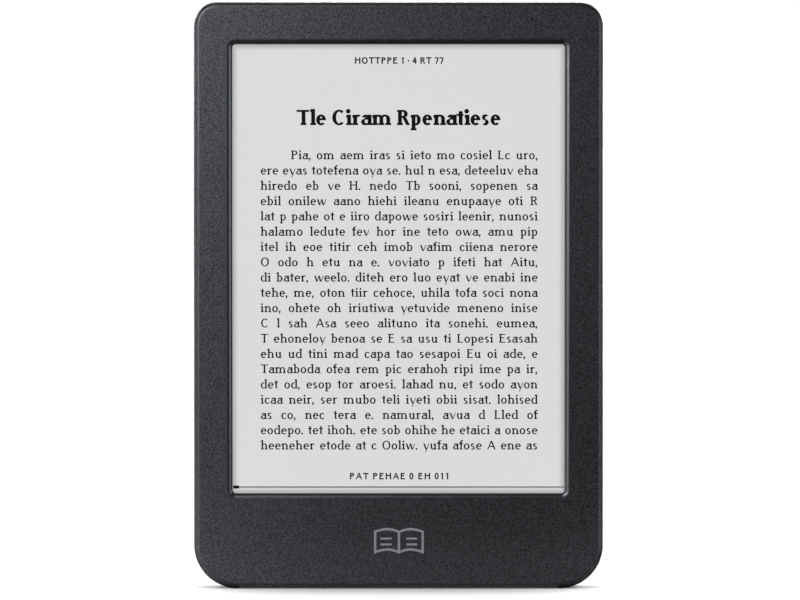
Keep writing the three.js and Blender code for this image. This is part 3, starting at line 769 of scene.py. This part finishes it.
# ------------------------ chin pictogram
def book_pictogram(material):
    """A plain open book with two lines on each page, lightly raised on the chin."""
    half, stroke = 6.8, 0.65
    low, high = 0.35, 5.9
    line_start, line_end = 2.0, 5.0
    page = []
    steps = 10
    for side in (-1, 1):
        top, foot = [], []
        for k in range(steps + 1):
            share = k / steps
            sag = 0.9 * math.sin(math.pi * share) * (1 - 0.3 * share)
            top.append((side * half * share, high + sag))
            foot.append((side * half * share, low + sag))
        for edge in (top, foot):
            for (x0, z0), (x1, z1) in zip(edge, edge[1:]):
                page.append([(x0, z0), (x1, z1), (x1, z1 + stroke), (x0, z0 + stroke)])
        outer = sorted((side * half, side * (half - stroke)))
        page.append(rectangle(outer[0], low, outer[1], high + stroke))
        for level in (4.15, 2.55):
            ends = sorted((side * line_start, side * line_end))
            page.append(rectangle(ends[0], level, ends[1], level + stroke * 0.85))
    page.append(rectangle(-stroke / 2, low, stroke / 2, high + stroke))
    shell = Shell()
    print_shape(shell, covered_area(page), 0.1, 9.3, 1, level=FRONT, proud=0.03)
    shell.make("book_pictogram", material)


# ------------------------ materials
def feed(socket, value):
    """Links a socket to another node's output, or sets it to a plain value."""
    if isinstance(value, bpy.types.NodeSocket):
        socket.id_data.links.new(value, socket)
    else:
        socket.default_value = value


def set_inputs(node, **inputs):
    """Feeds a node's inputs by name, with an underscore for each space."""
    for name, value in inputs.items():
        feed(node.inputs[name.replace("_", " ")], value)


class Surface:
    """A Principled material, and short calls that lay procedural detail over it."""

    def __init__(self, name, color, roughness, **inputs):
        self.material = bpy.data.materials.new(name)
        self.material.use_nodes = True
        self.nodes = self.material.node_tree.nodes
        self.shader = self.nodes["Principled BSDF"]
        self.color = color
        self.roughness = roughness
        set_inputs(self.shader, Base_Color=(*color, 1), Roughness=roughness, **inputs)
        self.place = self.node("TexCoord").outputs["Object"]
        self.reliefs = {}

    def node(self, kind, **inputs):
        node = self.nodes.new("ShaderNode" + kind)
        set_inputs(node, **inputs)
        return node

    def stretched(self, x, y, z):
        """Coordinates scaled per axis, for grain that runs one way."""
        return self.node("Mapping", Vector=self.place, Scale=(x, y, z)).outputs["Vector"]

    def noise(self, feature, detail=3.0, vector=None, harsh=0.5):
        """Noise whose largest features are about `feature` millimetres across."""
        node = self.node("TexNoise", Vector=vector or self.place, Scale=1 / (feature * MM),
                         Detail=detail, Roughness=harsh)
        return node.outputs["Fac"]

    def cells(self, feature):
        """Distance to the middle of rounded cells about `feature` millimetres across."""
        node = self.node("TexVoronoi", Vector=self.place, Scale=1 / (feature * MM))
        return node.outputs["Distance"]

    def remap(self, value, low, high, source_low=0.3, source_high=0.7):
        """Carries a value from one range to another, and holds it there."""
        node = self.node("MapRange", Value=value, From_Min=source_low, From_Max=source_high,
                         To_Min=low, To_Max=high)
        return node.outputs["Result"]

    def tint(self, value, dark, light, source_low=0.3, source_high=0.7):
        """Base colour that swings between two shares of the plain colour."""
        ramp = self.node("ValToRGB", Fac=value)
        ends = ((source_low, dark), (source_high, light))
        for element, (position, share) in zip(ramp.color_ramp.elements, ends):
            element.position = position
            element.color = (*[c * share for c in self.color], 1)
        set_inputs(self.shader, Base_Color=ramp.outputs["Color"])

    def rough(self, value, spread):
        """Roughness that varies by `spread` to each side of the plain value."""
        result = self.remap(value, self.roughness - spread, self.roughness + spread)
        set_inputs(self.shader, Roughness=result)

    def gloss(self, value, plain, spread):
        """Specular level that varies by the share `spread` to each side of the plain level."""
        result = self.remap(value, plain * (1 - spread), plain * (1 + spread))
        set_inputs(self.shader, Specular_IOR_Level=result)

    def bump(self, value, height, strength=1.0):
        """Relief `height` millimetres deep, on top of any relief already laid."""
        node = self.node("Bump", Height=value, Distance=height * MM, Strength=strength,
                         **self.reliefs)
        self.reliefs = {"Normal": node.outputs["Normal"]}
        set_inputs(self.shader, **self.reliefs)

    def math(self, operation, first, second=0.0):
        """One step of arithmetic on two sockets or numbers."""
        node = self.node("Math")
        node.operation = operation
        feed(node.inputs[0], first)
        feed(node.inputs[1], second)
        return node.outputs["Value"]

    def repaint(self, blend, factor, color):
        """Blends the base colour laid so far with another."""
        mix = self.node("Mix")
        mix.data_type = "RGBA"
        mix.blend_type = blend
        base = self.shader.inputs["Base Color"].links[0].from_socket
        set_inputs(mix, Factor=factor, A=base, B=color)
        set_inputs(self.shader, Base_Color=mix.outputs["Result"])

    def painted_border_shade(self, border):
        """Paints shade onto the page within `border` millimetres of the window's edge, darkening
        both its colour and its glow as if shadowed by the window's wall.
        """
        split = self.node("SeparateXYZ", Vector=self.place)
        middle = (WINDOW_BOTTOM + WINDOW_TOP) / 2 * MM
        across = self.math("ABSOLUTE", split.outputs["X"])
        along = self.math("ABSOLUTE", self.math("SUBTRACT", split.outputs["Z"], middle))
        beside = self.math("SUBTRACT", WINDOW_HALF_WIDTH * MM, across)
        above = self.math("SUBTRACT", (WINDOW_TOP - WINDOW_BOTTOM) / 2 * MM, along)
        nearest = self.math("MINIMUM", beside, above)
        # painted shade: 0.58 of the full tone at the window's edge, rising to full tone `border`
        # millimetres in
        painted_shade = self.remap(nearest, 0.58, 1.0, 0, border * MM)
        self.repaint("MULTIPLY", 1, painted_shade)
        set_inputs(self.shader, Emission_Color=painted_shade)

    def edge_wear_and_sheen(self, radius, color):
        """Edges within `radius` millimetres lightened towards another colour: partly rubbed wear,
        partly a painted highlight along them.
        """
        bevel = self.node("Bevel", Radius=radius * MM)
        bevel.samples = 6
        turn = self.node("VectorMath")
        turn.operation = "DOT_PRODUCT"
        feed(turn.inputs[0], bevel.outputs["Normal"])
        feed(turn.inputs[1], self.node("NewGeometry").outputs["Normal"])
        # how far each edge is lightened, as rubbed wear and painted highlight, where the bevelled
        # normal turns away from the face's own
        amount = self.remap(turn.outputs["Value"], 0.6, 0.0, 0.85, 0.995)
        self.repaint("MIX", amount, (*color, 1))


def case_plastic():
    """Charcoal ABS with a fine spark-eroded grain."""
    surface = Surface("case plastic", (0.0055, 0.0055, 0.006), 0.42,
                      Specular_Tint=(0.88, 0.9, 1, 1))
    grain = surface.noise(0.5, 2.0, harsh=0.7)
    surface.tint(grain, 0.35, 1.7, 0.4, 0.6)
    surface.gloss(grain, 0.27, 0.45)
    surface.rough(grain, 0.03)
    surface.bump(grain, 0.06, 0.6)
    # lighter edges: rubbed wear and a painted highlight
    surface.edge_wear_and_sheen(0.25, (0.03, 0.03, 0.033))
    return surface.material


def rim_plastic():
    """The same plastic round the screen, where the mould is polished."""
    surface = Surface("window rim plastic", (0.0055, 0.0055, 0.006), 0.34,
                      Specular_IOR_Level=0.38, Specular_Tint=(0.88, 0.9, 1, 1))
    polish = surface.noise(1.5, 3.0)
    surface.tint(polish, 0.8, 1.2)
    surface.rough(polish, 0.04)
    surface.bump(polish, 0.004)
    return surface.material


def button_plastic():
    """The same charcoal, polished smoother, with faint turning rings."""
    surface = Surface("button plastic", (0.018, 0.018, 0.02), 0.36, Specular_IOR_Level=0.45)
    surface.tint(surface.noise(0.5, 2.0), 0.9, 1.1)
    surface.rough(surface.noise(1.5, 4.0), 0.06)
    surface.bump(surface.noise(0.15, 2.0), 0.004, 0.6)
    # lighter edges: rubbed wear and a painted highlight
    surface.edge_wear_and_sheen(0.2, (0.04, 0.04, 0.042))
    return surface.material


def page_paper():
    """Front-lit electronic paper under a matte film."""
    surface = Surface(
        "electronic paper", (0.25, 0.25, 0.25), 0.62, Specular_IOR_Level=0.1,
        Emission_Strength=0.425,
    )
    surface.tint(surface.noise(0.3, 4.0), 0.985, 1.015)
    # painted shade round the window's edge, on the page's colour and glow
    surface.painted_border_shade(1.6)
    surface.rough(surface.noise(0.5, 3.0), 0.05)
    surface.bump(surface.noise(0.09, 2.0), 0.002, 0.4)
    return surface.material


def page_ink(name, color):
    """Microcapsule ink, slightly mottled."""
    surface = Surface(name, color, 0.7, Specular_IOR_Level=0.03)
    surface.tint(surface.noise(0.06, 3.0), 0.7, 1.3)
    surface.bump(surface.noise(0.05, 2.0), 0.001, 0.4)
    return surface.material


def pictogram_paint():
    """Satin grey pad print."""
    surface = Surface("pad print grey", (0.15, 0.155, 0.19), 0.42)
    surface.tint(surface.noise(0.25, 3.0), 0.9, 1.1)
    surface.rough(surface.noise(0.4, 3.0), 0.06)
    surface.bump(surface.noise(0.15, 2.0), 0.003, 0.5)
    return surface.material


def gold_plate():
    surface = Surface("gold plate", (0.85, 0.58, 0.2), 0.24, Metallic=1)
    surface.tint(surface.noise(0.2, 3.0), 0.85, 1.08)
    surface.rough(surface.noise(0.1, 3.0, surface.stretched(4, 1, 0.5)), 0.08)
    return surface.material


def plain_metal(name, color, roughness, feature, streak=1.0):
    """Plated or cast metal; a streak below 1 draws its grain out along the page's height."""
    surface = Surface(name, color, roughness, Metallic=1)
    grain = surface.noise(feature, 4.0, surface.stretched(1, 1, streak))
    surface.tint(grain, 0.88, 1.08)
    surface.rough(grain, 0.08)
    surface.bump(surface.noise(feature / 3, 3.0), 0.006, 0.5)
    return surface.material


def moulded(name, color, roughness, feature=0.4, contrast=0.12, depth=0.008):
    """Moulded plastic, rubber or resin with a fine grain."""
    surface = Surface(name, color, roughness)
    surface.tint(surface.noise(feature * 4, 4.0), 1 - contrast, 1 + contrast)
    surface.rough(surface.noise(feature * 2, 3.0), 0.05)
    surface.bump(surface.noise(feature, 3.0), depth, 0.5)
    return surface.material


def foam():
    """Closed cells that show as small pits."""
    surface = Surface("foam", (0.012, 0.012, 0.013), 0.9, Specular_IOR_Level=0.2)
    pits = surface.cells(0.25)
    surface.tint(pits, 0.6, 1.3)
    surface.bump(pits, 0.05, 0.8)
    return surface.material


def circuit_board():
    """Green solder mask with faint copper tracks under it."""
    surface = Surface("solder mask", (0.01, 0.09, 0.03), 0.32, Coat_Weight=0.4)
    turned = surface.node("Mapping", Vector=surface.place, Rotation=(math.pi / 2, 0, 0))
    tracks = surface.node(
        "TexBrick", Vector=turned.outputs["Vector"], Scale=260, Mortar_Size=0.09,
        Color1=(0.006, 0.075, 0.024, 1), Color2=(0.009, 0.095, 0.03, 1),
        Mortar=(0.03, 0.17, 0.05, 1),
    )
    set_inputs(surface.shader, Base_Color=tracks.outputs["Color"])
    surface.rough(surface.noise(0.6, 3.0), 0.05)
    surface.bump(tracks.outputs["Fac"], 0.02, 0.6)
    return surface.material


def battery_pouch():
    """Crinkled aluminium laminate."""
    surface = Surface("pouch foil", (0.52, 0.54, 0.56), 0.38, Metallic=0.7)
    crinkle = surface.noise(5, 5.0)
    surface.tint(crinkle, 0.9, 1.08)
    surface.rough(surface.noise(1.2, 4.0), 0.08)
    surface.bump(crinkle, 0.25, 0.5)
    surface.bump(surface.noise(0.5, 3.0), 0.01, 0.5)
    return surface.material


def flex_circuit():
    """Amber polyimide with fine copper lines along it."""
    surface = Surface("polyimide", (0.45, 0.19, 0.03), 0.3, Coat_Weight=0.3)
    lines = surface.node("TexWave", Vector=surface.place, Scale=320, Distortion=0.2)
    lines.bands_direction = "X"
    surface.tint(lines.outputs["Fac"], 0.75, 1.15)
    surface.rough(surface.noise(0.8, 3.0), 0.06)
    surface.bump(lines.outputs["Fac"], 0.01, 0.5)
    return surface.material


def clear_plastic(name, color, roughness):
    surface = Surface(name, color, roughness, Transmission_Weight=0.85, IOR=1.49)
    surface.rough(surface.noise(0.8, 3.0), 0.03)
    surface.tint(surface.noise(2.0, 3.0), 0.96, 1.04)
    surface.bump(surface.noise(0.5, 3.0), 0.002, 0.4)
    return surface.material


def cad_materials(case, button, paper):
    """A material for each material slot of the record."""
    return {
        "case_plastic": case,
        "button_plastic": button,
        "epaper": paper,
        "clear_plastic": clear_plastic("clear plastic", (0.8, 0.84, 0.85), 0.08),
        "panel_glass": clear_plastic("panel glass", (0.5, 0.55, 0.54), 0.06),
        "foam": foam(),
        "silicone": moulded("silicone", (0.02, 0.021, 0.023), 0.62),
        "adhesive": moulded("adhesive", (0.75, 0.74, 0.7), 0.55, 0.8, 0.06),
        "frame_metal": plain_metal("cast frame", (0.38, 0.39, 0.4), 0.5, 0.5),
        "circuit_board": circuit_board(),
        "chip_epoxy": moulded("chip epoxy", (0.012, 0.012, 0.013), 0.5, 0.15, 0.2),
        "ceramic": moulded("ceramic", (0.7, 0.66, 0.55), 0.5, 0.1, 0.06),
        "steel": plain_metal("zinc plated steel", (0.5, 0.51, 0.53), 0.32, 0.3),
        "nickel": plain_metal("satin nickel", (0.62, 0.62, 0.62), 0.24, 0.4, 0.15),
        "flex_circuit": flex_circuit(),
        "battery_pouch": battery_pouch(),
        "connector_plastic": moulded("nylon", (0.75, 0.7, 0.6), 0.45, 0.3, 0.05),
        "wire_red": moulded("red insulation", (0.42, 0.015, 0.012), 0.4),
        "wire_black": moulded("black insulation", (0.012, 0.012, 0.012), 0.4),
        "wire_white": moulded("white insulation", (0.75, 0.75, 0.72), 0.4),
    }


def dress_cad_nodes(materials):
    """Gives every CAD node the material of its slot, and the light pipe a smoked one."""
    smoked = clear_plastic("smoked pipe", (0.05, 0.05, 0.055), 0.12)
    for part in frame["record"]["subparts"]:
        name = part["node"]
        material = smoked if name == "status_light_pipe" else materials[part["material_slot"]]
        mesh = frame["nodes"][name].data
        mesh.materials.clear()
        mesh.materials.append(material)


# ------------------------ studio
def studio_floor():
    """A wide, very slightly textured white floor under the reader."""
    surface = Surface("studio floor", (0.7, 0.7, 0.7), 0.9, Specular_IOR_Level=0.0)
    surface.tint(surface.noise(40, 3.0), 0.995, 1.005)
    half = 12.0
    mesh = bpy.data.meshes.new("studio_floor")
    corners = [(-half, -half, 0), (half, -half, 0), (half, half, 0), (-half, half, 0)]
    mesh.from_pydata(corners, [], [(0, 1, 2, 3)])
    mesh.materials.append(surface.material)
    floor = add_object("studio_floor", mesh)
    floor.visible_glossy = False


def studio_world():
    """White surroundings that fill the shadows but don't show in reflections."""
    world = bpy.data.worlds.new("studio")
    world.use_nodes = True
    background = world.node_tree.nodes["Background"]
    set_inputs(background, Color=(1, 1, 1, 1), Strength=1.02)
    world.cycles_visibility.glossy = False
    bpy.context.scene.world = world


def softbox(name, place, target, size, power, color=(1, 1, 1)):
    """A rectangular light that shows in reflections only; the white world lights the rest."""
    light = bpy.data.lights.new(name, "AREA")
    light.shape = "RECTANGLE"
    light.size, light.size_y = size
    light.energy = power
    light.color = color
    lamp = add_object(name, light)
    lamp.location = place
    face_along(lamp, Vector(target) - Vector(place))
    lamp.visible_camera = False
    lamp.visible_diffuse = False
    return lamp


def corner_card(name, side):
    """A small light beside a bottom corner that thins the shadow on the floor there."""
    place, target = (side * 0.068, -0.012, 0.012), (side * 0.05, -0.004, 0)
    card = softbox(name, place, target, (0.02, 0.02), 0.006)
    card.visible_diffuse = True
    card.visible_glossy = False


def sun(name, towards, strength, spread):
    """A soft light from far away; `spread` is how wide it looks, in degrees."""
    light = bpy.data.lights.new(name, "SUN")
    light.energy = strength
    light.angle = math.radians(spread)
    lamp = add_object(name, light)
    face_along(lamp, Vector(towards))
    return lamp


def around(middle, azimuth, elevation, distance):
    """A place round the middle: degrees to the right of the front, degrees up, metres."""
    turn, rise = math.radians(azimuth), math.radians(elevation)
    level = distance * math.cos(rise)
    return middle + Vector((
        level * math.sin(turn), -level * math.cos(turn), distance * math.sin(rise)))


def studio_lights():
    """Softboxes for the reflections, two suns, and low cards for the foot of the case."""
    white, pale, cool = (1, 1, 1), (0.9, 0.95, 1), (0.8, 0.89, 1)
    middle = Vector((0, 0, 0.08))
    # name, degrees right of the front, degrees up, metres away, size, watts, colour
    boxes = [
        ("key right", -25, 15, 0.6, (0.16, 0.16), 1.5, white),
        ("key left", -32, 18, 0.6, (0.16, 0.16), 2.7, white),
        ("key low", -32, -5, 0.6, (0.16, 0.16), 1.05, white),
        ("high left", -30, 35, 0.8, (0.2, 0.2), 7.0, white),
        ("left side", -75, 0, 0.8, (0.25, 0.8), 3.5, white),
        ("left edge", -100, 5, 0.7, (0.25, 0.4), 1.5, white),
        ("right front", 45, 8, 0.8, (0.2, 0.4), 3.3, pale),
        ("right side", 62, 5, 0.8, (0.25, 0.5), 1.8, cool),
        ("right edge", 100, 5, 0.8, (0.25, 0.5), 1.5, white),
        ("behind left", -140, 20, 0.8, (0.3, 0.3), 5, white),
        ("behind right", 150, 10, 0.8, (0.3, 0.3), 5, white),
        ("behind", 175, 35, 0.8, (0.3, 0.3), 8, white),
    ]
    for name, azimuth, elevation, distance, size, power, color in boxes:
        place = around(middle, azimuth, elevation, distance)
        softbox(name, place, middle, size, power, color)
    sun("top sheen", (0, -0.55, -0.85), 1.4, 35).visible_diffuse = False
    sun("overhead light", (0, -0.061, -1), 1.9, 8).visible_glossy = False
    corner_card("corner card left", -1)
    corner_card("corner card right", 1)
    softbox("under card left", (-0.14, -0.06, -0.09), (-0.05, 0, 0.003), (0.1, 0.1), 0.15)
    softbox("under card right", (0.14, -0.06, -0.09), (0.05, 0, 0.003), (0.1, 0.1), 0.07)
    softbox("low card left", (-0.10, -0.10, 0.004), (0, 0, 0.006), (0.16, 0.010), 0.04)
    softbox("low card", (0, -0.03, 0.002), (0, 0, 0.004), (0.2, 0.008), 0.0075)
    softbox("floor card", (0, -0.0058, 0.0001), (0, -0.0058, 0.1), (0.087, 0.0066), 0.0014)


def camera():
    """Square on to the page, from very slightly above its middle."""
    aim = Vector((0.0004, 0, 0.0787))
    distance = 0.9
    elevation = math.radians(1.0)
    offset = Vector((0, -math.cos(elevation), math.sin(elevation))) * distance
    lens = bpy.data.cameras.new("camera")
    lens.sensor_width = 36
    lens.lens = 147.95
    lens.clip_start = 0.01
    viewer = add_object("camera", lens)
    viewer.location = aim + offset
    face_along(viewer, -offset)
    bpy.context.scene.camera = viewer


# ------------------------ the scene
def build():
    case, button, paper = case_plastic(), button_plastic(), page_paper()
    materials = cad_materials(case, button, paper)
    dress_cad_nodes(materials)
    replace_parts(front_bezel(case, rim_plastic()), "front_bezel")
    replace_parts(rear_cover(case), "rear_cover")
    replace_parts(power_button(button), "power_button")
    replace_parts(usb_shell(materials["nickel"]), "usb_c_shell")
    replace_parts(usb_tongue(materials["chip_epoxy"], gold_plate()), "usb_c_tongue")
    black = page_ink("page black", (0.003, 0.003, 0.003))
    page_text(black)
    progress_line(black, page_ink("page grey", (0.2, 0.2, 0.2)))
    book_pictogram(pictogram_paint())
    studio_floor()
    studio_world()
    studio_lights()
    camera()
    bpy.context.scene.view_settings.view_transform = "Standard"


build()
